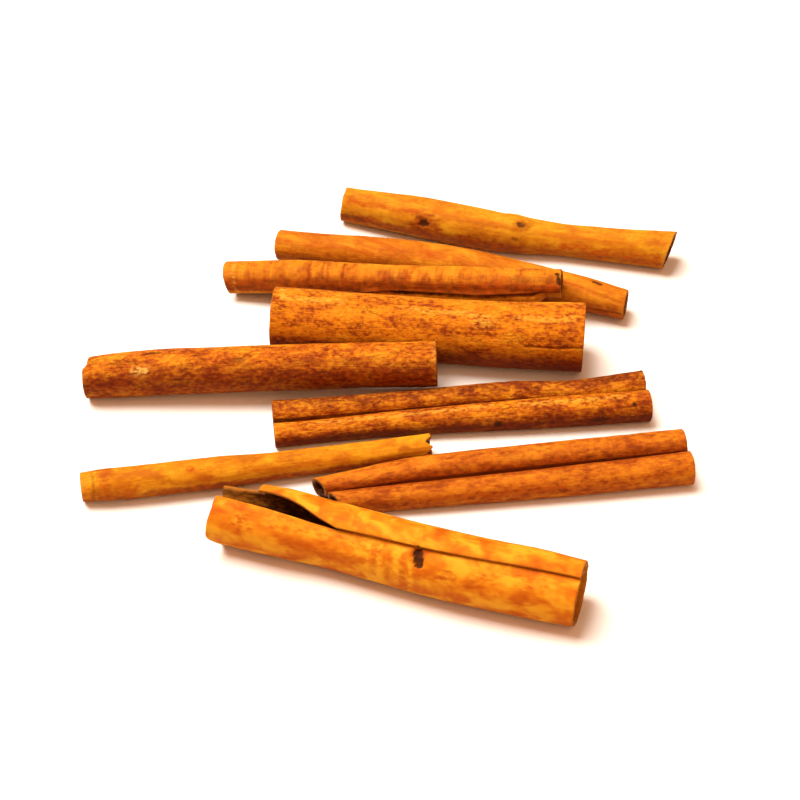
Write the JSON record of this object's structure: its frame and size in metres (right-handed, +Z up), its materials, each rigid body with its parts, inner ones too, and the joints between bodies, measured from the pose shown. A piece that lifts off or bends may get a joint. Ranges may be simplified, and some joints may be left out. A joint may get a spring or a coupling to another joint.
{
  "type": "stack of cinnamon sticks",
  "caption": "Loose pile of rolled cinnamon bark sticks lying side by side and across one another, as single and double rolls with open scroll ends and a lifted flap.",
  "frame": {"origin": "on the surface under the middle of the pile", "axes": "+Z up; +X to the right, along the sticks; -Y towards the front of the pile"},
  "size_m": [0.1386, 0.1414, 0.016],
  "materials": {
    "smooth_bark": "dry scraped bark, matt with a faint sheen",
    "rough_bark": "dry fissured bark, matt"
  },
  "bodies": {
    "root": {"stick_back": "smooth_bark", "stick_curved": "smooth_bark", "stick_leaning": "smooth_bark", "stick_thick": "rough_bark", "stick_propped": "rough_bark", "stick_double_rough": "rough_bark", "stick_slim": "smooth_bark", "stick_double_smooth": "smooth_bark", "stick_split": "smooth_bark"}
  },
  "joints": []
}
